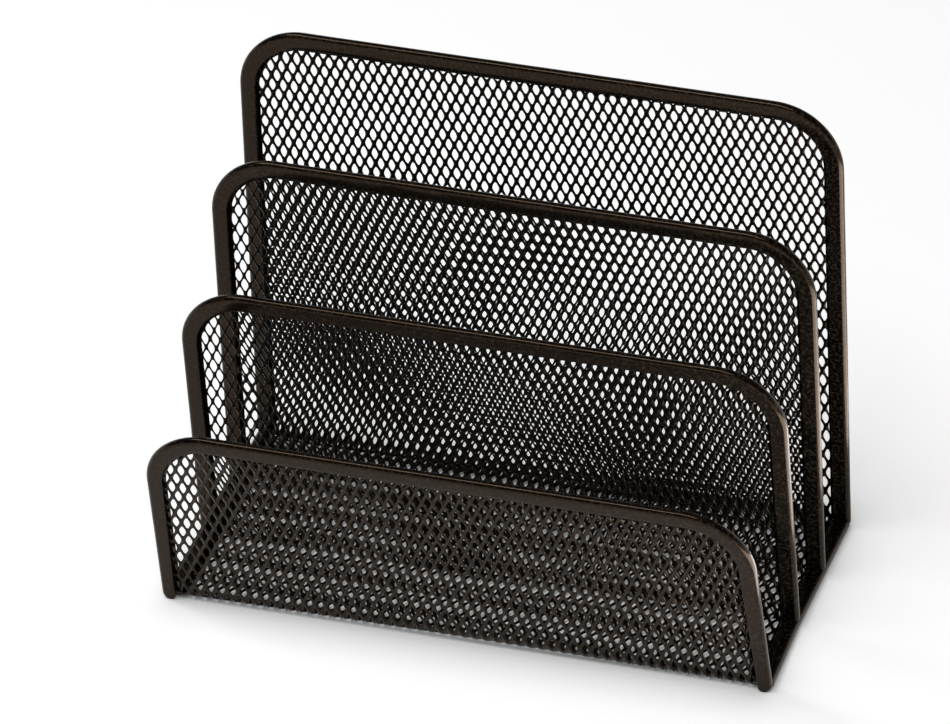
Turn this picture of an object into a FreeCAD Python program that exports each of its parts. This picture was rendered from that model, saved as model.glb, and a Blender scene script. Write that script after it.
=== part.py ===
"""Letter sorter of black steel net with four upright panels and three open slots.

The front panel leans forward, two dividers and a tall back panel stand behind it, and every panel
has a folded strip round its sides and top. The base net has a folded strip along each side.

Millimetres, +Z up, the front faces -Y. The origin is the middle of the bounding box, on the table.
"""
import FreeCAD, Part
import math
import os

from FreeCAD import Placement, Rotation, Vector

# Overall sizes of the panels
width = 168.0
back_height = 133.5
rear_divider_length = 110.2
front_divider_length = 87.0
front_length = 64.2

# Room between the panels at the base, from front face to front face
front_slot_pitch = 29.4
middle_slot_pitch = 24.0
rear_slot_pitch = 24.4

# How far the panels lean forward, in degrees
front_lean = 11.9
front_divider_lean = 6.0
rear_divider_lean = 1.7
back_lean = 0.0

# Folded strip round the panels and along the base
strip_face = 4.6
strip_depth = 2.6
strip_wall = 0.8
strip_edge_radius = 1.25
strip_lip_radius = 0.25
corner_radius = 18.7
foot_outer_radius = 2.0
foot_inner_radius = 1.2

# Net, with gaps drawn coarser than the real ones
net_thickness = 0.9
net_edge_clearance = 0.2
net_foot_clearance = 0.1
net_bend_radius = 1.6
gap_pitch_across = 8.6
gap_pitch_along = 16.6
net_strand_width = 1.9
gap_margin = 0.5
least_gap_share = 0.12

# One overrun serves all cuts
overrun = 5.0

half_width = width / 2
net_bottom = (strip_depth - net_thickness) / 2
net_top = net_bottom + net_thickness
net_middle = strip_depth / 2
fold_depth = strip_wall + net_edge_clearance

front_divider_y = front_slot_pitch
rear_divider_y = front_divider_y + middle_slot_pitch
back_y = rear_divider_y + rear_slot_pitch
front_top_centre = (front_length - strip_edge_radius) * math.sin(math.radians(front_lean))
front_reach = front_top_centre + strip_edge_radius * (1 - math.cos(math.radians(front_lean)))
origin_y = (back_y + strip_depth - front_reach) / 2

across = Vector(1, 0, 0)
backward = Vector(0, 1, 0)
upward = Vector(0, 0, 1)


def panel_placement(lean, base_y):
    """Places a panel drawn upright at the origin: its front face's foot goes to base_y on the table."""
    turn = Rotation(across, lean)
    return Placement(Vector(0, base_y - origin_y, 0), turn)


def base_placement():
    """Places what is drawn with the front panel's foot at Y zero."""
    return Placement(Vector(0, -origin_y, 0), Rotation())


def put(shape, placement):
    """A copy of a shape moved by a placement, on top of where it already is."""
    return shape.transformed(placement.toMatrix())


def arc_edge(centre, radius, start_angle, end_angle, first_axis, second_axis):
    """An arc in the plane of two axes, with its angles in degrees from the first one."""
    def point(angle):
        turn = math.radians(angle)
        return centre + first_axis * (radius * math.cos(turn)) + second_axis * (radius * math.sin(turn))

    middle_angle = (start_angle + end_angle) / 2
    return Part.Arc(point(start_angle), point(middle_angle), point(end_angle)).toShape()


def line_edge(start, end):
    return Part.LineSegment(start, end).toShape()


def strip_section(place):
    """The strip's cut face: a channel with a rounded closed edge. place(inward, through) gives a point."""
    outer = strip_edge_radius
    lip = strip_lip_radius
    deep = strip_depth
    face = strip_face
    slot_floor = strip_wall
    half_turn_share = math.sqrt(0.5)

    def rounded(corner_in, corner_through, radius, sign_in, sign_through):
        """Start, middle and end of a round corner; the signs point from its centre to the corner."""
        centre_in = corner_in - sign_in * radius
        centre_through = corner_through - sign_through * radius
        side = place(corner_in, centre_through)
        flat = place(centre_in, corner_through)
        reach = radius * half_turn_share
        middle = place(centre_in + sign_in * reach, centre_through + sign_through * reach)
        return side, middle, flat

    front_side, front_middle, front_flat = rounded(0, 0, outer, -1, -1)
    back_side, back_middle, back_flat = rounded(0, deep, outer, -1, 1)
    front_lip_side, front_lip_middle, front_lip_flat = rounded(face, 0, lip, 1, -1)
    back_lip_side, back_lip_middle, back_lip_flat = rounded(face, deep, lip, 1, 1)
    front_slot_mouth = place(face, net_bottom)
    front_slot_floor = place(slot_floor, net_bottom)
    back_slot_floor = place(slot_floor, net_top)
    back_slot_mouth = place(face, net_top)
    edges = [
        Part.Arc(front_side, front_middle, front_flat).toShape(),
        line_edge(front_flat, front_lip_flat),
        Part.Arc(front_lip_flat, front_lip_middle, front_lip_side).toShape(),
        line_edge(front_lip_side, front_slot_mouth),
        line_edge(front_slot_mouth, front_slot_floor),
        line_edge(front_slot_floor, back_slot_floor),
        line_edge(back_slot_floor, back_slot_mouth),
        line_edge(back_slot_mouth, back_lip_side),
        Part.Arc(back_lip_side, back_lip_middle, back_lip_flat).toShape(),
        line_edge(back_lip_flat, back_flat),
        Part.Arc(back_flat, back_middle, back_side).toShape(),
        line_edge(back_side, front_side),
    ]
    return Part.Wire(edges)


def arch_path(height, foot):
    """The strip's outer edge round a panel, from the left foot over the top to the right foot."""
    turn_height = height - corner_radius
    turn_half = half_width - corner_radius
    left_centre = Vector(-turn_half, 0, turn_height)
    right_centre = Vector(turn_half, 0, turn_height)
    return Part.Wire([
        line_edge(Vector(-half_width, 0, foot), Vector(-half_width, 0, turn_height)),
        arc_edge(left_centre, corner_radius, 180, 90, across, upward),
        line_edge(Vector(-turn_half, 0, height), Vector(turn_half, 0, height)),
        arc_edge(right_centre, corner_radius, 90, 0, across, upward),
        line_edge(Vector(half_width, 0, turn_height), Vector(half_width, 0, foot)),
    ])


def above(level, shape):
    """Keeps what is above a level of the finished object."""
    size = width + back_height
    cutter = Part.makeBox(size * 2, size * 2, size, Vector(-size, -size, level))
    return shape.common(cutter)


def rounded_foot_trim(height, foot):
    """A slab round a panel whose strip ends are rounded where they meet the table."""
    inner = half_width - strip_face
    outer_radius = foot_outer_radius
    inner_radius = foot_inner_radius
    left_outer = Vector(-half_width + outer_radius, 0, foot + outer_radius)
    left_inner = Vector(-inner - inner_radius, 0, foot + inner_radius)
    right_inner = Vector(inner + inner_radius, 0, foot + inner_radius)
    right_outer = Vector(half_width - outer_radius, 0, foot + outer_radius)
    top = height + overrun
    middle_level = foot + outer_radius
    outline = Part.Wire([
        line_edge(Vector(-half_width, 0, top), Vector(-half_width, 0, foot + outer_radius)),
        arc_edge(left_outer, outer_radius, 180, 270, across, upward),
        line_edge(Vector(-half_width + outer_radius, 0, foot), Vector(-inner - inner_radius, 0, foot)),
        arc_edge(left_inner, inner_radius, 270, 360, across, upward),
        line_edge(Vector(-inner, 0, foot + inner_radius), Vector(-inner, 0, middle_level)),
        line_edge(Vector(-inner, 0, middle_level), Vector(inner, 0, middle_level)),
        line_edge(Vector(inner, 0, middle_level), Vector(inner, 0, foot + inner_radius)),
        arc_edge(right_inner, inner_radius, 180, 270, across, upward),
        line_edge(Vector(inner + inner_radius, 0, foot), Vector(half_width - outer_radius, 0, foot)),
        arc_edge(right_outer, outer_radius, 270, 360, across, upward),
        line_edge(Vector(half_width, 0, foot + outer_radius), Vector(half_width, 0, top)),
        line_edge(Vector(half_width, 0, top), Vector(-half_width, 0, top)),
    ])
    slab = Part.Face(outline).extrude(backward * (strip_depth + overrun * 2))
    slab.translate(backward * -overrun)
    return slab


def panel_rim(length, lean, base_y, foot_level):
    """The strip round one panel, cut off level where it stands."""
    foot = -overrun
    section = strip_section(lambda inward, through: Vector(-half_width + inward, through, foot))
    rim = arch_path(length, foot).makePipeShell([section], True, False)
    return above(foot_level, put(rim, panel_placement(lean, base_y)))


def front_panel_rim():
    """The front strip also has its ends rounded, as its feet show beside the net."""
    foot = -overrun
    section = strip_section(lambda inward, through: Vector(-half_width + inward, through, foot))
    rim = arch_path(front_length, foot).makePipeShell([section], True, False)
    lean = math.radians(front_lean)
    lowest_foot = -strip_depth * math.tan(lean)
    rim = rim.common(rounded_foot_trim(front_length, lowest_foot))
    return above(0, put(rim, panel_placement(front_lean, 0)))


def arch_outline(length, foot, inset):
    """A panel's outline from the foot up, drawn inside the strip's outer edge by an inset."""
    half = half_width - inset
    radius = corner_radius - inset
    top = length - inset
    turn_height = top - radius
    turn_half = half - radius
    return Part.Wire([
        line_edge(Vector(-half, 0, foot), Vector(-half, 0, turn_height)),
        arc_edge(Vector(-turn_half, 0, turn_height), radius, 180, 90, across, upward),
        line_edge(Vector(-turn_half, 0, top), Vector(turn_half, 0, top)),
        arc_edge(Vector(turn_half, 0, turn_height), radius, 90, 0, across, upward),
        line_edge(Vector(half, 0, turn_height), Vector(half, 0, foot)),
        line_edge(Vector(half, 0, foot), Vector(-half, 0, foot)),
    ])


def base_outline(half, start, end):
    """A rectangle lying flat, from start to end."""
    corners = [
        Vector(-half, start, 0),
        Vector(half, start, 0),
        Vector(half, end, 0),
        Vector(-half, end, 0),
    ]
    return Part.makePolygon(corners + corners[:1])


def gap_half_sizes():
    """Half the width and half the length of a gap: the pitch less the strands on both sides."""
    half_across = gap_pitch_across / 2
    half_along = gap_pitch_along / 2
    slant = math.hypot(half_across, half_along)
    strand_across = net_strand_width / 2 * slant / half_along
    strand_along = net_strand_width / 2 * slant / half_across
    return half_across - strand_across, half_along - strand_along


def diamond(x, along, axis):
    """A gap of the net as a face, long way along the axis."""
    half_across, half_along = gap_half_sizes()
    middle = across * x + axis * along
    points = [
        middle + across * half_across,
        middle + axis * half_along,
        middle - across * half_across,
        middle - axis * half_along,
    ]
    return Part.Face(Part.makePolygon(points + points[:1]))


def gap_places(low, high):
    """Places of the gaps between two ends, in rows that are staggered by half a pitch."""
    row_step = gap_pitch_along / 2
    half_columns = int(half_width // gap_pitch_across) + 1
    rows = int((high - low) // row_step) + 2
    for row in range(rows):
        shift = gap_pitch_across / 2 if row % 2 else 0
        for column in range(-half_columns - 1, half_columns + 1):
            yield column * gap_pitch_across + shift, low + row * row_step


def net_sheet(outline, window, low, high, axis, normal):
    """A net: one flat face with the gaps that fall in its window, given the net's thickness."""
    half_across, half_along = gap_half_sizes()
    least_area = least_gap_share * 2 * half_across * half_along
    gaps = Part.makeCompound([diamond(x, along, axis) for x, along in gap_places(low, high)])
    trimmed = Part.Face(window).common(gaps).Faces
    holes = [face.OuterWire for face in trimmed if face.Area > least_area]
    print("gaps:", len(holes))
    holed = Part.Face(outline).cut(Part.makeCompound([Part.Face(hole) for hole in holes]))
    return holed.Faces[0].extrude(normal * net_thickness)


def panel_net(length, foot):
    """A panel's net drawn upright, with its strip's front face in the plane of Y zero."""
    outline = arch_outline(length, foot, fold_depth)
    window_foot = foot + gap_margin
    window = arch_outline(length, window_foot, strip_face + gap_margin)
    sheet = net_sheet(outline, window, window_foot, length, upward, backward)
    sheet.translate(backward * net_bottom)
    return sheet


def bend_reach(lean):
    """How far the bend's ends are from the corner where the panel's outer face meets the table."""
    turn = math.radians(lean)
    return (net_middle + net_bend_radius) * math.tan(math.radians(45) - turn / 2)


def net_bend(lean):
    """The round strip of net from a panel's foot to the base, drawn with the corner at Y zero."""
    reach = bend_reach(lean)
    centre = Vector(0, reach, net_middle + net_bend_radius)
    inner = net_bend_radius - net_thickness / 2
    outer = net_bend_radius + net_thickness / 2
    start = 180 + lean
    end = 270
    bend_half = half_width - strip_face - net_edge_clearance

    def point(radius, angle):
        turn = math.radians(angle)
        return centre + backward * (radius * math.cos(turn)) + upward * (radius * math.sin(turn))

    section = Part.Wire([
        arc_edge(centre, outer, start, end, backward, upward),
        line_edge(point(outer, end), point(inner, end)),
        arc_edge(centre, inner, end, start, backward, upward),
        line_edge(point(inner, start), point(outer, start)),
    ])
    bend = Part.Face(section).extrude(across * (bend_half * 2))
    bend.translate(across * -bend_half)
    return bend


def front_panel_net():
    reach = bend_reach(front_lean)
    sheet = put(panel_net(front_length, reach), panel_placement(front_lean, 0))
    bend = put(net_bend(front_lean), base_placement())
    return sheet.fuse(bend)


def back_panel_net():
    """The back net's bend is the front one's mirror image, at the back panel's rear face."""
    reach = bend_reach(back_lean)
    sheet = put(panel_net(back_height, reach), panel_placement(back_lean, back_y))
    bend = net_bend(back_lean).mirror(Vector(), backward)
    bend.translate(backward * (back_y + strip_depth - origin_y))
    return sheet.fuse(bend)


def divider_net(length, lean, base_y):
    """A divider's net stands on the base net."""
    foot = (net_top + net_foot_clearance) / math.cos(math.radians(lean))
    return put(panel_net(length, foot), panel_placement(lean, base_y))


def base_net():
    """The floor of the sorter, from bend to bend, with its sides in the rails."""
    start = bend_reach(front_lean)
    end = back_y + strip_depth - bend_reach(back_lean)
    outline = base_outline(half_width - fold_depth, start, end)
    window_start = start + gap_margin
    window = base_outline(half_width - strip_face - gap_margin, window_start, end - gap_margin)
    sheet = net_sheet(outline, window, window_start, end, backward, upward)
    sheet.translate(upward * net_bottom)
    return put(sheet, base_placement())


def rail(side, start_y, end_y):
    """A straight strip along the base net's side, lying flat, closed edge outward."""
    def place(inward, through):
        return Vector(side * (half_width - inward), start_y, through)

    section = Part.Face(strip_section(place))
    return put(section.extrude(backward * (end_y - start_y)), base_placement())


def front_panel_slab():
    """The room that the front panel takes, for fitting the rails against its rear face."""
    slab = Part.makeBox(
        width + overrun * 2, strip_depth + overrun, overrun * 4,
        Vector(-half_width - overrun, -overrun, -overrun * 2),
    )
    return put(slab, panel_placement(front_lean, 0))


def front_rail(side):
    """The front rail starts against the leaning front panel's rim."""
    joint_y = front_divider_y + strip_depth / 2
    strip = rail(side, 0, joint_y)
    return strip.cut(front_panel_slab())


def rear_rail(side):
    joint_y = front_divider_y + strip_depth / 2
    return rail(side, joint_y, back_y)


def save(name, shape):
    """Writes a node as one solid."""
    solid = shape.Solids[0]
    if len(shape.Solids) != 1 or not solid.isValid():
        raise ValueError(name + " is not one sound solid")
    solid.exportStep("parts/" + name + ".step")
    box = solid.BoundBox
    print(name, round(solid.Volume), "mm3, Z", round(box.ZMin, 2), "to", round(box.ZMax, 2))


def main():
    os.makedirs("parts", exist_ok=True)
    save("front_rim", front_panel_rim())
    save("front_divider_rim", panel_rim(front_divider_length, front_divider_lean, front_divider_y, strip_depth))
    save("rear_divider_rim", panel_rim(rear_divider_length, rear_divider_lean, rear_divider_y, strip_depth))
    save("back_rim", panel_rim(back_height, back_lean, back_y, 0))
    save("front_net", front_panel_net())
    save("front_divider_net", divider_net(front_divider_length, front_divider_lean, front_divider_y))
    save("rear_divider_net", divider_net(rear_divider_length, rear_divider_lean, rear_divider_y))
    save("back_net", back_panel_net())
    save("base_net", base_net())
    for name, side in (("left", -1), ("right", 1)):
        save("front_rail_" + name, front_rail(side))
        save("rear_rail_" + name, rear_rail(side))


main()
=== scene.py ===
"""Looks of the steel net letter sorter: net at its real pitch, folded strips and a black powder coat.

Metres, in the part's own frame: +X right, the front faces -Y, +Z up, and the sorter stands on Z zero.
"""

import math

import bpy
import numpy as np
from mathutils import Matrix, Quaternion, Vector, noise


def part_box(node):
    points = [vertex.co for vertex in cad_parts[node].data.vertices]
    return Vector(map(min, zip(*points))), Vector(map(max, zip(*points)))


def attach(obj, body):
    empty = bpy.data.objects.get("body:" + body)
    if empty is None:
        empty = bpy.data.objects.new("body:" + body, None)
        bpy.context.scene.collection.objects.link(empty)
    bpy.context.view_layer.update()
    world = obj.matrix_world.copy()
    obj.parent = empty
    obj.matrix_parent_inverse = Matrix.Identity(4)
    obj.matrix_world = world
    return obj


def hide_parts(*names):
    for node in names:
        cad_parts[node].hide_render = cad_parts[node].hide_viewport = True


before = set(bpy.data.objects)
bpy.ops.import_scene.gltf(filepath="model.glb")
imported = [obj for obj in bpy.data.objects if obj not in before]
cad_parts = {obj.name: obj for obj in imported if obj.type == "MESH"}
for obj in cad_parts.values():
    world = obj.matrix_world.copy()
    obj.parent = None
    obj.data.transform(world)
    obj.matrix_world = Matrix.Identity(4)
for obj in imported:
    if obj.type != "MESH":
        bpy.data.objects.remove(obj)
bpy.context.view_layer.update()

mm = 0.001
tiny = 1e-12

# Camera, as fitted to the photographed outlines
view_azimuth = 18.777
view_elevation = 34.368
view_roll = -2.265
view_distance = 3.4257
view_aim = Vector((-8.302, 8.304, 62.053)) * mm
view_lens = 488.15
view_clip = (0.1, 20.0)

# How far the panels lean forward, in degrees
front_lean = 11.9
front_divider_lean = 6.0
rear_divider_lean = 1.7
back_lean = 0.0

# How far the front panel's sides stand outward at the foot and at the top
front_foot_splay = 1.05 * mm
front_top_splay = 0.05 * mm

# Folded strip
strip_face = 4.6 * mm
strip_depth = 2.6 * mm
strip_wall = 0.8 * mm
strip_edge_radius = 1.25 * mm
strip_lip_radius = 0.25 * mm
slot_depth = 0.9 * mm
corner_radius = 18.7 * mm
foot_radii = (2.0 * mm, 1.2 * mm)
divider_foot_radii = (0.9 * mm, 0.4 * mm)
front_leg_taper = 0.9 * mm
strip_station = 2.0 * mm
corner_stations = 28
foot_row_shares = (0.0, 0.04, 0.12, 0.25, 0.45, 0.7, 1.0)
foot_blend = 6.0 * mm
strip_edge_points = 10
strip_lip_points = 5
strip_face_shares = (0.33, 0.67)
strip_sharp_angle = 50
strip_wander = 0.035 * mm
strip_wander_length = 9.0 * mm

# Where a strip's sides and its two caps lie on its bake map
strip_map_rows = 4
strip_map_start = 0.02
strip_map_height = 0.90
cap_map_centres = ((0.05, 0.992), (0.25, 0.992))
cap_map_radii = (0.04, 0.006)

# Net cells: steps to the next opening across and along, and one opening's place
back_cell_across = (3.042 * mm, 0.062 * mm)
back_cell_along = (-0.240 * mm, 6.025 * mm)
back_opening = (-6.07 * mm, 108.35 * mm)
front_cell_along = (0.12 * mm, 6.85 * mm)
front_opening = (0.36 * mm, 38.8 * mm)
front_divider_cell = ((2.92 * mm, 0.04 * mm), (-0.12 * mm, 6.33 * mm))
front_divider_opening = (-33.8 * mm, 77.3 * mm)
rear_divider_cell = ((2.992 * mm, 0.0), (-0.075 * mm, 6.12 * mm))
rear_divider_opening = (22.2 * mm, 98.7 * mm)

# How the bent sheet's front cells are counted from its back ones
sheet_cells_between = 36.5
sheet_cells_aside = -0.5

# Net sheets: where they lie in their strips, their bends, the front's bowed lower edge and their wandering
net_level = 1.05 * mm
divider_net_level = 1.3 * mm
net_bend_radius = 1.0 * mm
net_bow = 0.9 * mm
net_bow_reach = 25.0 * mm
net_wander = 0.06 * mm
net_wander_length = 40.0 * mm
net_wander_waves = (5.1, 3.3, 4.3, 3.9)

# Net strands: half their thickness in the middle and at an opening's edge, and how far the edges tip
strand_crest = 0.32 * mm
strand_shoulder = 0.07 * mm
strand_tilt = 0.06 * mm

# How much of a cell is open across and along, how much that varies, and how far the bends press cells shut
back_opening_shares = (0.59, 0.60)
front_opening_shares = (0.60, 0.56)
base_opening_shares = (0.56, 0.57)
divider_opening_shares = (0.68, 0.665)
opening_spread_share = 0.05
bend_closure = 0.7
bend_closure_reach = 2.2 * mm

# How far inside the strips' outer edges the nets end, and the closed hem beside the strips
net_inset = 1.0 * mm
net_hem = 0.85 * mm
bend_inset = 4.8 * mm
base_inset = 1.4 * mm
rail_clearance = 0.4 * mm
net_foot = 1.5 * mm

# Net meshes
lattice_reach = 64
pitch_margin = 6.0 * mm
joined_distance = 0.001 * mm
least_face_side = 0.02 * mm
wall_map_share = 0.72
bent_net_seed = 7

# Powder coats: colours, roughness and gloss. The nets' one coat has a lit copy, glossier as a painted sheen,
# and a shaded copy, duller as painted shade
coat_dark = (0.001, 0.0008, 0.0006)
coat_light = (0.022, 0.0168, 0.0125)
net_coat_light = (0.006, 0.0045, 0.0034)
strip_roughness = 0.14
lit_net_roughness = 0.15
shaded_net_roughness = 0.17
roughness_spread = 0.06
strip_specular = 0.26
lit_net_specular = 0.29
shaded_net_specular = 0.13
specular_tint = (1.0, 0.68, 0.45)

# Powder coats: grain size and height of the orange peel, and sizes of the waves and colour blotches
strip_peel = (0.5 * mm, 0.008 * mm)
net_peel = (0.25 * mm, 0.006 * mm)
peel_detail = 2.0
wave_size = 6.0 * mm
wave_height = 0.06 * mm
wave_detail = 1.0
blotch_size = 0.9 * mm
blotch_detail = 3.0
blotch_span = (0.47, 0.68)
noise_span = (0.3, 0.7)

# The room: its share of plain light, its shaded ceiling and its pale backdrop
white = (1.0, 1.0, 1.0, 1.0)
room_light = 0.16
ceiling_shade = 0.10
ceiling_span = (0.0, 0.2)
backdrop_rise = 0.36

# The floor, with a white glow of its own that is darkened close under the sorter as painted shade
floor_half = 3.0
floor_level = -0.02 * mm
floor_colour = (0.88, 0.88, 0.88, 1.0)
floor_roughness = 0.9
floor_lift = 0.52
floor_painted_shade_reach = 16.0 * mm
floor_painted_shade_samples = 6

# The overhead lamp, which is long across
key_direction = (-0.264, -0.309, 0.913)
key_distance = 1.2
key_size = (1.5, 0.24)
key_power = 9.0

# A low panel beside the sorter, like a lit sweep that the right-hand edges mirror
low_panel_place = Vector((230, -30, 1)) * mm
low_panel_size = (0.22, 0.24)
low_panel_power = 1.3

root = "root"


def smooth_mesh(name, points, faces):
    """A smooth-shaded mesh object from points and faces."""
    mesh = bpy.data.meshes.new(name)
    mesh.from_pydata([tuple(p) for p in points], [], [tuple(f) for f in faces])
    mesh.polygons.foreach_set("use_smooth", [True] * len(mesh.polygons))
    piece = bpy.data.objects.new(name, mesh)
    bpy.context.scene.collection.objects.link(piece)
    return piece


def bake_map(piece, corner_places):
    """Gives the piece a UV map for baked finishes, with one place per face corner."""
    layer = piece.data.uv_layers.new(name="OFBake")
    layer.data.foreach_set("uv", np.asarray(corner_places, np.float32).ravel())


class Panel:
    """A panel's own plane, read from its rim: x across, rise up the front face and depth through it."""

    def __init__(self, rim_node, lean_degrees, foot_level, foot_splay=0.0, top_splay=0.0):
        low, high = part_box(rim_node)
        lean = math.radians(lean_degrees)
        self.cos = math.cos(lean)
        self.sin = math.sin(lean)
        self.foot_level = foot_level
        self.foot_splay = foot_splay
        self.top_splay = top_splay
        self.half_width = high.x
        rear_foot_rise = (foot_level - strip_depth * self.sin) / self.cos
        self.foot_y = high.y - strip_depth * self.cos + rear_foot_rise * self.sin
        top_centre_depth = strip_depth - strip_edge_radius
        top_centre = (high.z - strip_edge_radius - top_centre_depth * self.sin) / self.cos
        self.length = top_centre + strip_edge_radius

    def spread(self, x, rise):
        """Moves the legs outward as far as the panel is splayed there."""
        splay = self.foot_splay + (self.top_splay - self.foot_splay) * np.clip(rise / self.length, 0, 1)
        return x * (1 + splay / self.half_width)

    def place(self, x, rise, depth):
        """The points in the part's frame, for numbers or arrays."""
        y = self.foot_y + depth * self.cos - rise * self.sin
        z = depth * self.sin + rise * self.cos
        return np.stack(np.broadcast_arrays(self.spread(x, rise), y, z), -1)

    def foot_rise(self, depth):
        """Where the foot's level cuts the panel at a depth."""
        return (self.foot_level - depth * self.sin) / self.cos

    def clamp(self, x, rise, inset):
        """Points moved onto the panel's outline, drawn inward by an inset, and which of them were outside."""
        radius = corner_radius - inset
        centre_x = self.half_width - corner_radius
        centre_rise = self.length - corner_radius
        over_x = np.maximum(np.abs(x) - centre_x, 0)
        over_rise = np.maximum(rise - centre_rise, 0)
        reach = np.maximum(np.hypot(over_x, over_rise), tiny)
        outside = reach > radius
        scale = np.where(outside, radius / reach, 1.0)
        held_x = np.sign(x) * (np.minimum(np.abs(x), centre_x) + over_x * scale)
        held_rise = np.minimum(rise, centre_rise) + over_rise * scale
        return held_x, held_rise, outside


front = Panel("front_rim", front_lean, 0.0, front_foot_splay, front_top_splay)
front_divider = Panel("front_divider_rim", front_divider_lean, strip_depth)
rear_divider = Panel("rear_divider_rim", rear_divider_lean, strip_depth)
back = Panel("back_rim", back_lean, 0.0)


def base_spread(x, y):
    """The splay of the front feet, fading along the base to the front divider."""
    share = np.clip((front_divider.foot_y - y) / (front_divider.foot_y - front.foot_y), 0, 1)
    return x * (1 + front_foot_splay * share / back.half_width)


def arc_points(centre, radius, start, end, count):
    """Points along an arc, with angles in degrees."""
    angles = np.radians(np.linspace(start, end, count))
    return [(centre[0] + radius * math.cos(a), centre[1] + radius * math.sin(a)) for a in angles]


def strip_section():
    """The folded strip's outline as (inward, through) points: edge, face, lip and slot, then the rear."""
    edge = strip_edge_radius
    lip = strip_lip_radius
    mouth = (strip_depth - slot_depth) / 2
    middle = strip_depth / 2
    face_length = strip_face - edge - lip
    half = [(0.0, middle)]
    half += arc_points((edge, edge), edge, 180, 270, strip_edge_points)
    half += [(edge + face_length * share, 0.0) for share in strip_face_shares]
    half += arc_points((strip_face - lip, lip), lip, 270, 360, strip_lip_points)
    half += [(strip_face, mouth - lip / 2), (strip_face - lip / 2, mouth)]
    half += [(strip_wall, mouth), (strip_wall, middle)]
    rear = [(inward, strip_depth - through) for inward, through in reversed(half[1:-1])]
    return half + rear


def foot_squeeze(height, radii):
    """How far the strip's outer and inner edges draw in at a height above its rounded foot."""
    insets = []
    for radius in radii:
        below = max(radius - height, 0.0)
        insets.append(radius - math.sqrt(max(radius ** 2 - below ** 2, 0.0)))
    return insets


def leg_heights(length, radii):
    """Heights above the foot where a leg gets a row of points: close together at the rounded foot."""
    fine = [radii[0] * share for share in foot_row_shares]
    coarse = max(int((length - radii[0]) / strip_station), 1)
    rest = [radii[0] + (length - radii[0]) * (k + 1) / coarse for k in range(coarse)]
    return fine + rest


def arch_stations(panel, radii):
    """Stations along a rim: (x, rise, inward x, inward rise, height above the foot)."""
    turn_x = panel.half_width - corner_radius
    turn_rise = panel.length - corner_radius
    foot = panel.foot_rise(0.0)
    heights = leg_heights(turn_rise - foot, radii)
    left = [(-panel.half_width, foot + h, 1.0, 0.0, h) for h in heights]
    corner = []
    for k in range(1, corner_stations):
        angle = math.radians(180 - 90 * k / corner_stations)
        out_x = math.cos(angle)
        out_rise = math.sin(angle)
        x = -turn_x + corner_radius * out_x
        rise = turn_rise + corner_radius * out_rise
        corner.append((x, rise, -out_x, -out_rise, rise - foot))
    steps = int(2 * turn_x / strip_station)
    top = [
        (-turn_x + 2 * turn_x * k / steps, panel.length, 0.0, -1.0, panel.length - foot)
        for k in range(steps + 1)
    ]
    mirrored = [(-x, rise, -in_x, in_rise, h) for x, rise, in_x, in_rise, h in reversed(left + corner)]
    return left + corner + top + mirrored


def wander(point, seed):
    """A strip's small smooth deviation, which depends on the place alone."""
    return strip_wander * noise.noise(Vector(point) / strip_wander_length + Vector((seed, 0, 0)))


def swept_strip(name, rings):
    """A strip from rings of points, capped at both ends, with its bake map in rows.

    Its sheared edges stay crisp while its rolled edges are smooth.
    """
    count = len(rings[0])
    points = [p for ring in rings for p in ring]
    faces = []
    places = []
    per_row = math.ceil((len(rings) - 1) / strip_map_rows)
    for k in range(len(rings) - 1):
        row = k // per_row
        u0 = (k - row * per_row) / per_row
        u1 = (k + 1 - row * per_row) / per_row
        for j in range(count):
            following = (j + 1) % count
            faces.append((
                k * count + j, (k + 1) * count + j,
                (k + 1) * count + following, k * count + following,
            ))
            v0 = (row + strip_map_start + strip_map_height * j / count) / strip_map_rows
            v1 = (row + strip_map_start + strip_map_height * (j + 1) / count) / strip_map_rows
            places += [(u0, v0), (u1, v0), (u1, v1), (u0, v1)]
    last = (len(rings) - 1) * count
    faces.append(tuple(range(count)))
    faces.append(tuple(last + j for j in reversed(range(count))))
    turns = np.linspace(0, 2 * math.pi, count, endpoint=False)
    for end, centre in enumerate(cap_map_centres):
        ring = [
            (centre[0] + cap_map_radii[0] * math.cos(a), centre[1] + cap_map_radii[1] * math.sin(a))
            for a in turns
        ]
        places += ring if end == 0 else ring[::-1]
    piece = smooth_mesh(name, points, faces)
    bake_map(piece, places)
    piece.data.set_sharp_from_angle(angle=math.radians(strip_sharp_angle))
    return piece


def rim(name, panel, radii, seed, taper):
    """The folded strip round a panel. Its legs get narrower towards the foot by the taper."""
    section = strip_section()
    rings = []
    straight = panel.length - corner_radius - panel.foot_rise(0.0)
    for x, rise, in_x, in_rise, height in arch_stations(panel, radii):
        outer_inset, inner_inset = foot_squeeze(height, radii)
        inner_inset += taper * max(0.0, 1.0 - height / straight)
        width = strip_face - outer_inset - inner_inset
        settle = min(height / foot_blend, 1.0)
        shift = settle * wander((x, rise, 0.0), seed)
        lean_in = settle * (wander((x, rise, 1.0), seed) + strip_wander / 2)
        ring = []
        for inward, through in section:
            inside = outer_inset + inward * width / strip_face
            if inward < strip_face / 2:
                inside += lean_in
            drop = (panel.foot_rise(through) - panel.foot_rise(0.0)) * (1.0 - settle)
            depth = min(max(through + shift, 0.0), strip_depth)
            ring.append(panel.place(x + in_x * inside, rise + in_rise * inside + drop, depth))
        rings.append(ring)
    return swept_strip(name, rings)


def front_start(level):
    """The front rail starts on the leaning front panel's rear face."""
    rise = (level - strip_depth * front.sin) / front.cos
    return front.foot_y + strip_depth * front.cos - rise * front.sin


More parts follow.
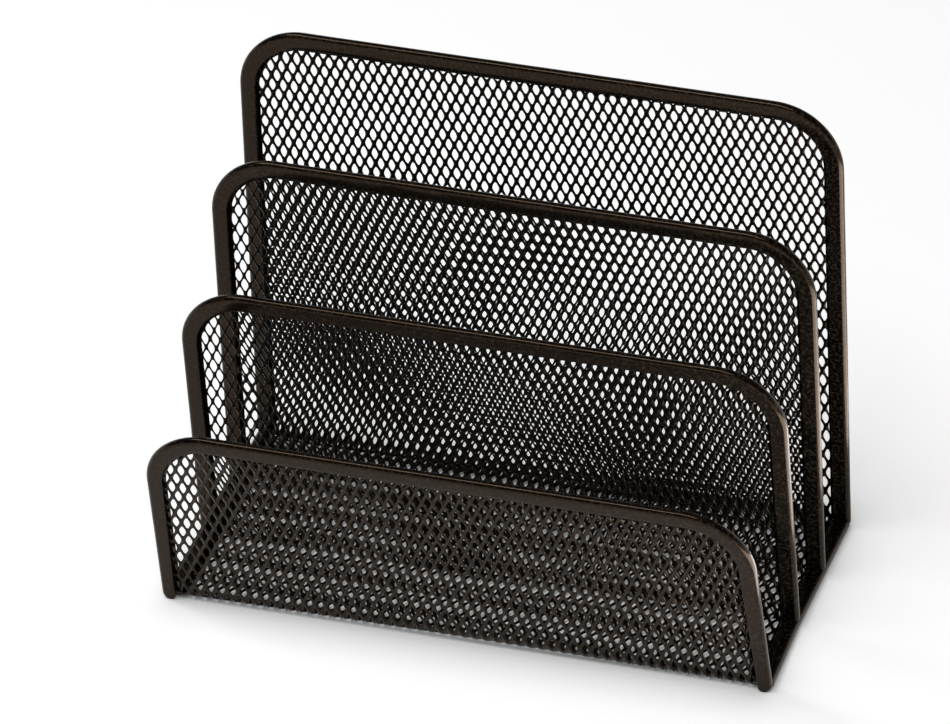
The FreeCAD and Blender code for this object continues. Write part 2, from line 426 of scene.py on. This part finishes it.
def rail(node):
    """A straight strip along the base's side, in the box of its node."""
    low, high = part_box(node)
    side = 1.0 if high.x > 0 else -1.0
    outer = high.x if side > 0 else low.x
    section = strip_section()
    steps = int((high.y - low.y) / strip_station)
    rings = []
    for k in range(steps + 1):
        y = low.y + (high.y - low.y) * k / steps
        ring = []
        for inward, through in section:
            start = front_start(through) if node.startswith("front") else low.y
            place_y = start + (high.y - start) * k / steps
            bow = strip_wander * (1 + noise.noise(Vector((y, through, side)) / strip_wander_length)) / 2
            ring.append((base_spread(outer - side * (inward + bow), place_y), place_y, through))
        rings.append(ring if side > 0 else ring[::-1])
    return swept_strip(node.replace("rail", "base_rail"), rings)


def cell_template(shares):
    """Twelve points of a cell's opening and of its outline, from its centre, in steps to the next cells."""
    quarter_opening = [(1.0, 0.0), (0.86, 0.33), (0.33, 0.86)]
    quarter_cell = [(1.0, 0.0), (0.75, 0.25), (0.25, 0.75)]

    def all_round(quarter):
        """The quarter's points mirrored into all four, in turn, with both upright ends."""
        right_up = quarter + [(0.0, 1.0)]
        left_up = [(-x, y) for x, y in reversed(quarter)]
        left_down = [(-x, -y) for x, y in quarter[1:]]
        lower = [(x, -y) for x, y in reversed(right_up[1:])]
        return np.array(right_up + left_up + left_down + lower)

    opening = all_round(quarter_opening) * (shares[0] / 2, shares[1] / 2)
    cell = all_round(quarter_cell) / 2
    return opening, cell


class Weave:
    """Where a net's cells lie in its plane: cells are counted across and along from one opening."""

    def __init__(self, cell, opening):
        self.across, self.along = np.array(cell)
        self.opening = np.array(opening)

    def place(self, counts):
        """The places of cells given by their counts."""
        return self.opening + counts[..., :1] * self.across + counts[..., 1:] * self.along


class BentWeave:
    """The weave of the bent sheet: it changes pace at the bends so that front and back are as measured.

    It lists the places of four counts of cells, and the steps below the first and above the last of them.
    """

    def __init__(self, sheet):
        back_top = sheet.back_limit + back_opening[1] - sheet.back_rise
        front_top = sheet.front_limit - (front_opening[1] - sheet.front_rise)
        back_cells = (back_top - sheet.back_end) / back_cell_along[1]
        front_cells = (sheet.front_end - front_top) / front_cell_along[1]
        front_x = front_opening[0] - sheet_cells_aside * back_cell_across[0]
        self.counts = [-sheet_cells_between, front_cells - sheet_cells_between, -back_cells, 0.0]
        self.alongs = [front_top, sheet.front_end, sheet.back_end, back_top]
        self.xs = [
            front_x,
            front_x - front_cells * front_cell_along[0],
            back_opening[0] - back_cells * back_cell_along[0],
            back_opening[0],
        ]
        self.below = np.array((-front_cell_along[0], front_cell_along[1]))
        self.above = np.array(back_cell_along)

    def place(self, counts):
        """The places of cells given by their counts."""
        across, along = counts[..., 0], counts[..., 1]
        under = np.minimum(along - self.counts[0], 0)
        over = np.maximum(along, 0)
        x = np.interp(along, self.counts, self.xs) + under * self.below[0] + over * self.above[0]
        y = np.interp(along, self.counts, self.alongs) + under * self.below[1] + over * self.above[1]
        return np.stack([x + across * back_cell_across[0], y + across * back_cell_across[1]], -1)


def lattice(weave, low, high):
    """Counts of the staggered cells whose openings lie between two corners."""
    steps = np.arange(-lattice_reach, lattice_reach + 1)
    across, along = np.meshgrid(steps, steps)
    whole = np.stack([across.ravel(), along.ravel()], -1).astype(float)
    counts = np.concatenate([whole, whole + 0.5])
    places = weave.place(counts)
    return counts[((places >= low) & (places <= high)).all(1)]


def drift(points, seed):
    """Slow wandering of the net's strands in their plane, as in any stretched sheet."""
    x = points[..., 0] / net_wander_length
    y = points[..., 1] / net_wander_length
    waves = net_wander_waves
    across = np.sin(waves[0] * y + seed) * np.cos(waves[1] * x - seed)
    upward = np.sin(waves[2] * x - 2 * seed) * np.cos(waves[3] * y + seed)
    return points + net_wander * np.stack([across, upward], -1)


def net(name, weave, low, high, hold, place, seed, shares, fullness=None):
    """A net of expanded steel sheet, as one mesh: four rings of points round each opening.

    low and high are the corners of its flat rectangle. hold(x, along, margin) moves points into the net's
    outline, drawn inward by a margin, and says which were outside: openings end at a hem beside the strip.
    place(x, along, height) gives the points in the part's frame. shares are how much of a cell is open across
    and along, and fullness(along) says how open the cells are there.
    """
    low = np.array(low)
    high = np.array(high)
    opening, cell = cell_template(shares)
    centres = lattice(weave, low, high)[:, None]
    random = np.random.default_rng(seed)
    spread = 1 + opening_spread_share * random.uniform(-1, 1, (len(centres), 1, 2))
    if fullness:
        spread = spread * fullness(weave.place(centres)[..., 1:])
    edges = drift(weave.place(centres + opening * spread), seed)
    crests = drift(weave.place(centres + cell), seed)
    middles = drift(weave.place(centres + wall_map_share * opening), seed)
    hem = strip_face + net_hem - net_inset
    edge_x, edge_along, edge_outside = hold(edges[..., 0], edges[..., 1], hem)
    crest_x, crest_along, crest_outside = hold(crests[..., 0], crests[..., 1], 0.0)
    tilt = strand_tilt * opening[:, 1] / np.abs(opening[:, 1]).max()
    rows = [
        place(crest_x, crest_along, strand_crest),
        place(edge_x, edge_along, strand_shoulder - tilt),
        place(edge_x, edge_along, -strand_shoulder - tilt),
        place(crest_x, crest_along, -strand_crest),
    ]
    points = np.stack(rows, 1).reshape(-1, 3)
    flat_low = low - pitch_margin
    flat_span = high - low + 2 * pitch_margin

    def flat(places, rear):
        """Where points lie on the bake map: the front and the openings' walls left, the rear right."""
        share = (places - flat_low) / flat_span
        return np.stack([share[..., 0] / 2 + (0.5 if rear else 0.0), share[..., 1]], -1)

    bands = (
        (flat(crests, False), flat(edges, False)),
        (flat(edges, False), flat(middles, False)),
        (flat(edges, True), flat(crests, True)),
    )
    faces, corner_places = band_faces(bands, len(rows), edge_outside & crest_outside)
    return joined_mesh(name, points, faces, corner_places)


def band_faces(bands, rows, gone):
    """The faces of the bands between the cells' rows of points, and their corners on the bake map.

    Each band gives its two rows' places on the map. gone says which points of a cell are outside the net:
    a face is left out where both of its neighbouring points are.
    """
    cells, count = gone.shape
    here = np.arange(count)
    following = (here + 1) % count
    kept = ~(gone[:, here] & gone[:, following])
    first = (np.arange(cells) * rows * count)[:, None]
    faces = []
    corner_places = []
    for band, (outer, inner) in enumerate(bands):
        start = first + band * count
        end = start + count
        faces.append(np.stack([start + here, start + following, end + following, end + here], -1)[kept])
        quad = np.stack([outer[:, here], outer[:, following], inner[:, following], inner[:, here]], 2)
        corner_places.append(quad[kept])
    return np.concatenate(faces), np.concatenate(corner_places)


def joined_mesh(name, points, faces, corner_places):
    """A mesh whose equal points are one, without faces that have no area."""
    keys = np.round(points / joined_distance).astype(np.int64)
    _, kept, number = np.unique(keys, axis=0, return_index=True, return_inverse=True)
    faces = number.reshape(-1)[faces]
    points = points[kept]
    corners = points[faces]
    diagonal_one = corners[:, 2] - corners[:, 0]
    diagonal_two = corners[:, 3] - corners[:, 1]
    area = np.linalg.norm(np.cross(diagonal_one, diagonal_two), axis=1) / 2
    sound = area > least_face_side ** 2
    faces = faces[sound]
    corner_places = corner_places[sound]
    used, faces = np.unique(faces, return_inverse=True)
    faces = faces.reshape(-1, 4)
    points = points[used]
    lists = []
    places = []
    for face, spots in zip(faces.tolist(), corner_places.tolist()):
        ring = [(v, s) for k, (v, s) in enumerate(zip(face, spots)) if v != face[k - 1]]
        if len(ring) >= 3 and len({v for v, _ in ring}) == len(ring):
            lists.append([v for v, _ in ring])
            places += [s for _, s in ring]
    piece = smooth_mesh(name, points, lists)
    bake_map(piece, places)
    return piece


class BentSheet:
    """The one sheet of net that makes the front, the base and the back.

    Places along the sheet are counted so that in the base they are the part's Y.
    """

    def __init__(self):
        lean = math.atan2(front.sin, front.cos)
        corner_rise = (net_level - net_level * front.sin) / front.cos
        corner_y = front.foot_y + net_level * front.cos - corner_rise * front.sin
        self.front_turn = math.pi / 2 - lean
        self.front_end = corner_y + net_bend_radius * math.tan(self.front_turn / 2)
        self.back_end = back.foot_y + net_level - net_bend_radius
        self.front_arc = net_bend_radius * self.front_turn
        self.back_arc = net_bend_radius * math.pi / 2
        self.front_rise = corner_rise + net_bend_radius * math.tan(self.front_turn / 2)
        self.back_rise = net_level + net_bend_radius
        self.front_limit = self.front_end - self.front_arc
        self.back_limit = self.back_end + self.back_arc

    def place(self, x, along, height):
        """Points on the bent sheet. Height is above the base, behind the front and before the back."""
        before = self.front_end - along
        beyond = along - self.back_end
        front_angle = np.clip(before / net_bend_radius, 0, self.front_turn)
        back_angle = np.clip(beyond / net_bend_radius, 0, math.pi / 2)
        side = np.where(before > 0, -1.0, 1.0)
        angle = np.where(before > 0, front_angle, back_angle)
        arc = np.where(before > 0, self.front_arc, self.back_arc)
        excess = np.maximum(np.where(before > 0, before, beyond) - arc, 0)
        start = np.clip(along, self.front_end, self.back_end)
        reach = net_bend_radius - height
        y = start + side * (reach * np.sin(angle) + excess * np.cos(angle))
        z = net_level + net_bend_radius - reach * np.cos(angle) + excess * np.sin(angle)
        rise = self.front_rise + self.front_limit - along
        splayed = np.where(before > self.front_arc, front.spread(x, rise), base_spread(x, y))
        fade = np.clip(1 - np.abs(along - self.front_end) / net_bow_reach, 0, 1) ** 2
        bow = net_bow * np.clip(1 - (x / back.half_width) ** 2, 0, 1) * fade
        return np.stack(np.broadcast_arrays(splayed, y, z + bow), -1)

    def fullness(self, along):
        """How open the cells are: those that lie on a bend are pressed nearly shut."""
        front_off = (along - (self.front_end + self.front_limit) / 2) / bend_closure_reach
        back_off = (along - (self.back_end + self.back_limit) / 2) / bend_closure_reach
        return 1 - bend_closure * (np.exp(-front_off ** 2) + np.exp(-back_off ** 2))

    def hold(self, x, along, margin):
        """Keeps points in the slots of the rims and rails, and clear of the rims where the sheet bends."""
        before = self.front_limit - along
        beyond = along - self.back_limit
        front_x, front_rise, front_out = front.clamp(x, self.front_rise + before, net_inset + margin)
        back_x, back_rise, back_out = back.clamp(x, self.back_rise + beyond, net_inset + margin)
        bend = ((along < self.front_end) & (before <= 0)) | ((along > self.back_end) & (beyond <= 0))
        half = back.half_width - np.where(bend, max(bend_inset, net_inset + margin), base_inset + margin)
        flat_x = np.clip(x, -half, half)
        flat_out = np.abs(x) > half
        held_x = np.where(before > 0, front_x, np.where(beyond > 0, back_x, flat_x))
        outside = np.where(before > 0, front_out, np.where(beyond > 0, back_out, flat_out))
        front_along = self.front_limit - (front_rise - self.front_rise)
        back_along = self.back_limit + (back_rise - self.back_rise)
        held_along = np.where(before > 0, front_along, np.where(beyond > 0, back_along, along))
        return held_x, held_along, outside


def bent_nets():
    """The front, base and back nets, cut from one sheet, so that their strands meet."""
    sheet = BentSheet()
    weave = BentWeave(sheet)
    half = back.half_width
    top = sheet.back_limit + back.length - sheet.back_rise
    lip = sheet.front_limit - (front.length - sheet.front_rise)
    parts = (
        ("front_net", lip - pitch_margin, sheet.front_end, front_opening_shares),
        ("base_net", sheet.front_end, sheet.back_end, base_opening_shares),
        ("back_net", sheet.back_end, top + pitch_margin, back_opening_shares),
    )
    pieces = []
    for node, start, end, shares in parts:
        piece = net(
            node + "_steel", weave, (-half, start), (half, end),
            sheet.hold, sheet.place, bent_net_seed, shares, sheet.fullness,
        )
        pieces.append((piece, node))
    return pieces


def divider_net(node, panel, weave, seed):
    """A divider's net, from the base net up into its rim's slot."""
    foot = net_foot / panel.cos
    rail_rise = panel.foot_rise(0.0)

    def hold(x, rise, margin):
        """Keeps points in the rim's slot, between the rails and above the base net."""
        held_x, held_rise, outside = panel.clamp(x, rise, net_inset + margin)
        half = panel.half_width - bend_inset - rail_clearance
        low = held_rise < rail_rise
        outside = outside | (low & (np.abs(held_x) > half)) | (rise < foot)
        held_x = np.where(low, np.clip(held_x, -half, half), held_x)
        return held_x, np.maximum(held_rise, foot), outside

    def place(x, rise, height):
        """Points in the part's frame, with height towards the front."""
        return panel.place(x, rise, divider_net_level - height)

    half = panel.half_width
    low = (-half, foot - pitch_margin / 2)
    high = (half, panel.length + pitch_margin / 2)
    return net(node + "_steel", weave, low, high, hold, place, seed, divider_opening_shares)


def noise_node(tree, place, size, detail, name):
    """A noise texture in the part's frame whose grains have about this size."""
    texture = tree.nodes.new("ShaderNodeTexNoise")
    texture.name = name
    texture.inputs["Scale"].default_value = 1 / size
    texture.inputs["Detail"].default_value = detail
    tree.links.new(place.outputs["Object"], texture.inputs["Vector"])
    return texture


def ranged(tree, value, low, high, span=noise_span):
    """A node that maps a span, by default a noise's usual one, to a range from low to high."""
    node = tree.nodes.new("ShaderNodeMapRange")
    node.inputs["From Min"].default_value = span[0]
    node.inputs["From Max"].default_value = span[1]
    node.inputs["To Min"].default_value = low
    node.inputs["To Max"].default_value = high
    tree.links.new(value, node.inputs["Value"])
    return node


def math_node(tree, operation, first, second):
    """What a math node puts out for two inputs. Each is a number or another node's output."""
    node = tree.nodes.new("ShaderNodeMath")
    node.operation = operation
    for socket, value in zip(node.inputs, (first, second)):
        if isinstance(value, float):
            socket.default_value = value
        else:
            tree.links.new(value, socket)
    return node.outputs[0]


def bump_node(tree, texture, height):
    """A node that raises a texture's grains by a height."""
    node = tree.nodes.new("ShaderNodeBump")
    node.inputs["Distance"].default_value = height
    tree.links.new(texture.outputs["Fac"], node.inputs["Height"])
    return node


def powder_coat(name, light, roughness, specular, peel_size, peel_height):
    """Black powder coat: faint colour blotches, uneven gloss and an orange-peel surface."""
    material = bpy.data.materials.new(name)
    material.use_nodes = True
    tree = material.node_tree
    shader = tree.nodes["Principled BSDF"]
    shader.inputs["Specular IOR Level"].default_value = specular
    shader.inputs["Specular Tint"].default_value = (*specular_tint, 1.0)
    place = tree.nodes.new("ShaderNodeTexCoord")
    blotches = noise_node(tree, place, blotch_size, blotch_detail, "blotches")
    peel = noise_node(tree, place, peel_size, peel_detail, "peel")
    waves = noise_node(tree, place, wave_size, wave_detail, "waves")

    colour = tree.nodes.new("ShaderNodeMix")
    colour.data_type = "RGBA"
    colour.inputs["A"].default_value = (*coat_dark, 1.0)
    colour.inputs["B"].default_value = (*light, 1.0)
    share = ranged(tree, blotches.outputs["Fac"], 0.0, 1.0, blotch_span)
    tree.links.new(share.outputs["Result"], colour.inputs["Factor"])
    tree.links.new(colour.outputs["Result"], shader.inputs["Base Color"])

    dull = roughness + roughness_spread
    glossy = roughness - roughness_spread
    gloss = ranged(tree, blotches.outputs["Fac"], dull, glossy)
    tree.links.new(gloss.outputs["Result"], shader.inputs["Roughness"])

    broad = bump_node(tree, waves, wave_height)
    fine = bump_node(tree, peel, peel_height)
    tree.links.new(broad.outputs["Normal"], fine.inputs["Normal"])
    tree.links.new(fine.outputs["Normal"], shader.inputs["Normal"])
    return material


def dress(piece, material, node):
    """Finishes a piece and lets it stand for its node."""
    piece.data.materials.append(material)
    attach(piece, root)
    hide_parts(node)


def make_sorter():
    """All pieces of the sorter, each in its coat and in the place of its node."""
    strip_coat = powder_coat("strip_powder_coat", coat_light, strip_roughness, strip_specular, *strip_peel)
    # One net coat in two copies: the lit one reflects more, a painted sheen on the front and base nets; the
    # shaded one reflects less, painted shade on the back and divider nets.
    lit_net_coat = powder_coat(
        "lit_net_powder_coat", net_coat_light, lit_net_roughness, lit_net_specular, *net_peel,
    )
    shaded_net_coat = powder_coat("shaded_net_powder_coat", net_coat_light, shaded_net_roughness, shaded_net_specular, *net_peel)
    rims = (
        ("front_rim", front, foot_radii, 1, front_leg_taper),
        ("front_divider_rim", front_divider, divider_foot_radii, 2, 0.0),
        ("rear_divider_rim", rear_divider, divider_foot_radii, 3, 0.0),
        ("back_rim", back, foot_radii, 4, 0.0),
    )
    for node, panel, radii, seed, taper in rims:
        dress(rim(node + "_strip", panel, radii, seed, taper), strip_coat, node)
    for node in ("front_rail_left", "front_rail_right", "rear_rail_left", "rear_rail_right"):
        dress(rail(node), strip_coat, node)
    for piece, node in bent_nets():
        dress(piece, shaded_net_coat if node == "back_net" else lit_net_coat, node)
    divider_nets = (
        ("front_divider_net", front_divider, Weave(front_divider_cell, front_divider_opening), 2),
        ("rear_divider_net", rear_divider, Weave(rear_divider_cell, rear_divider_opening), 3),
    )
    for node, panel, weave, seed in divider_nets:
        dress(divider_net(node, panel, weave, seed), shaded_net_coat, node)


def seen_share(tree):
    """One for rays from the camera or a mirror or through glass, else zero."""
    path = tree.nodes.new("ShaderNodeLightPath")
    plain = math_node(tree, "MAXIMUM", path.outputs["Is Camera Ray"], path.outputs["Is Glossy Ray"])
    return math_node(tree, "MAXIMUM", plain, path.outputs["Is Transmission Ray"])


def make_floor():
    """A pale floor that looks white where it is lit and keeps the sorter's shadow from the lamps; its own
    white glow is darkened close under the sorter, a painted shadow.
    """
    corners = [(x * floor_half, y * floor_half, floor_level) for x, y in ((-1, -1), (1, -1), (1, 1), (-1, 1))]
    floor = smooth_mesh("floor", corners, [(0, 1, 2, 3)])
    material = bpy.data.materials.new("pale_floor")
    material.use_nodes = True
    tree = material.node_tree
    shader = tree.nodes["Principled BSDF"]
    shader.inputs["Base Color"].default_value = floor_colour
    shader.inputs["Roughness"].default_value = floor_roughness
    shader.inputs["Specular IOR Level"].default_value = 0.0
    shader.inputs["Emission Color"].default_value = white
    # Painted shade: ambient occlusion dims the floor's own glow close under the sorter.
    shade = tree.nodes.new("ShaderNodeAmbientOcclusion")
    shade.samples = floor_painted_shade_samples
    shade.inputs["Distance"].default_value = floor_painted_shade_reach
    lift = math_node(tree, "MULTIPLY", seen_share(tree), floor_lift)
    shaded_lift = math_node(tree, "MULTIPLY", lift, shade.outputs["AO"])
    tree.links.new(shaded_lift, shader.inputs["Emission Strength"])
    floor.data.materials.append(material)


def make_world():
    """A pale room under a shaded ceiling, as it is seen and mirrored, and softer as light.

    The pale backdrop reaches higher behind the sorter than on the camera's side.
    """
    world = bpy.data.worlds.new("room")
    bpy.context.scene.world = world
    world.use_nodes = True
    tree = world.node_tree
    background = tree.nodes["Background"]
    background.inputs["Color"].default_value = white
    direction = tree.nodes.new("ShaderNodeTexCoord")
    parts = tree.nodes.new("ShaderNodeSeparateXYZ")
    tree.links.new(direction.outputs["Generated"], parts.inputs["Vector"])
    behind = math_node(tree, "MAXIMUM", parts.outputs["Y"], 0.0)
    lowered = math_node(tree, "MULTIPLY", behind, -backdrop_rise)
    level = math_node(tree, "ADD", parts.outputs["Z"], lowered)
    ceiling = ranged(tree, level, 1.0, ceiling_shade, ceiling_span)
    ceiling.interpolation_type = "SMOOTHSTEP"
    strength = ranged(tree, seen_share(tree), room_light, 1.0, (0.0, 1.0))
    tree.links.new(ceiling.outputs["Result"], strength.inputs["To Max"])
    tree.links.new(strength.outputs["Result"], background.inputs["Strength"])


def area_lamp(name, place, size, power):
    """A soft rectangular lamp at a place."""
    data = bpy.data.lights.new(name, "AREA")
    data.shape = "RECTANGLE"
    data.size = size[0]
    data.size_y = size[1]
    data.energy = power
    lamp = bpy.data.objects.new(name, data)
    bpy.context.scene.collection.objects.link(lamp)
    lamp.location = place
    return lamp


def make_lamps():
    """The overhead lamp, facing the sorter, and the low panel, facing up, which the camera doesn't see."""
    away = Vector(key_direction).normalized()
    key = area_lamp("key", view_aim + away * key_distance, key_size, key_power)
    key.rotation_mode = "QUATERNION"
    key.rotation_quaternion = away.to_track_quat("Z", "Y")
    low_panel = area_lamp("low_panel", low_panel_place, low_panel_size, low_panel_power)
    low_panel.rotation_euler = (math.pi, 0, 0)
    low_panel.visible_camera = False


def make_camera():
    """The camera, as fitted, rolled a little about its line of sight."""
    data = bpy.data.cameras.new("camera")
    data.lens = view_lens
    data.clip_start = view_clip[0]
    data.clip_end = view_clip[1]
    camera = bpy.data.objects.new("camera", data)
    bpy.context.scene.collection.objects.link(camera)
    azimuth = math.radians(view_azimuth)
    elevation = math.radians(view_elevation)
    away = Vector((
        math.sin(azimuth) * math.cos(elevation),
        -math.cos(azimuth) * math.cos(elevation),
        math.sin(elevation),
    ))
    camera.location = view_aim + away * view_distance
    camera.rotation_mode = "QUATERNION"
    roll = Quaternion((0, 0, 1), math.radians(view_roll))
    camera.rotation_quaternion = away.to_track_quat("Z", "Y") @ roll
    bpy.context.scene.camera = camera


bpy.context.scene.view_settings.view_transform = "Standard"
make_camera()
make_sorter()
make_floor()
make_world()
make_lamps()
